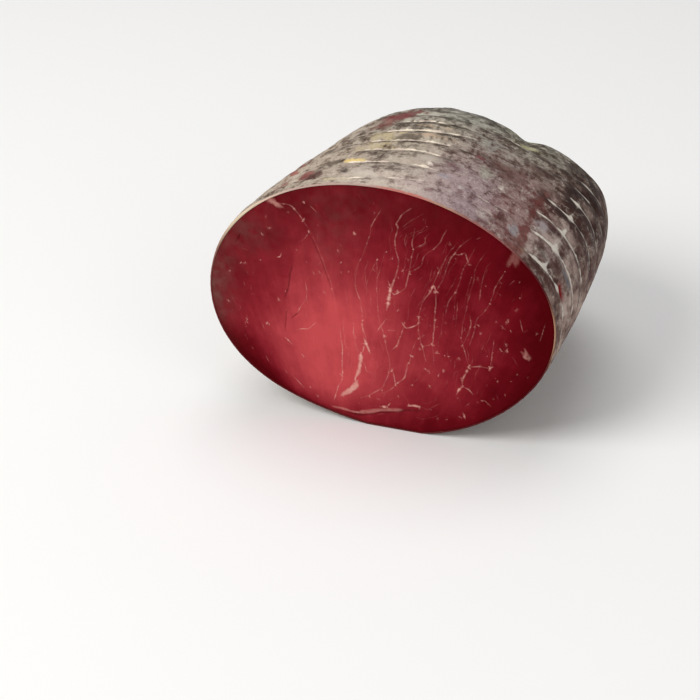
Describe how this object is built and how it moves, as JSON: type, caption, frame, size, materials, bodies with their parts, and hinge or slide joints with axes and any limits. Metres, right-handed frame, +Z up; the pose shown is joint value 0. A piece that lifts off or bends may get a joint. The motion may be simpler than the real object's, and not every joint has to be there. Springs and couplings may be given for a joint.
{
  "type": "bresaola",
  "caption": "Cut half of a cured beef bresaola: marbled red cut face, mouldy skin with net rings round it, resting on its belly.",
  "frame": {"origin": "on the ground under the middle of the box round the body", "axes": "+X across the cut, to the right of someone who looks at it; +Y along the body from the cut to the gathered end; +Z up"},
  "size_m": [0.1546, 0.1348, 0.1162],
  "materials": {
    "cured_meat": "satin",
    "mouldy_skin": "matte"
  },
  "bodies": {
    "root": {"bresaola": "cured_meat"}
  },
  "joints": []
}
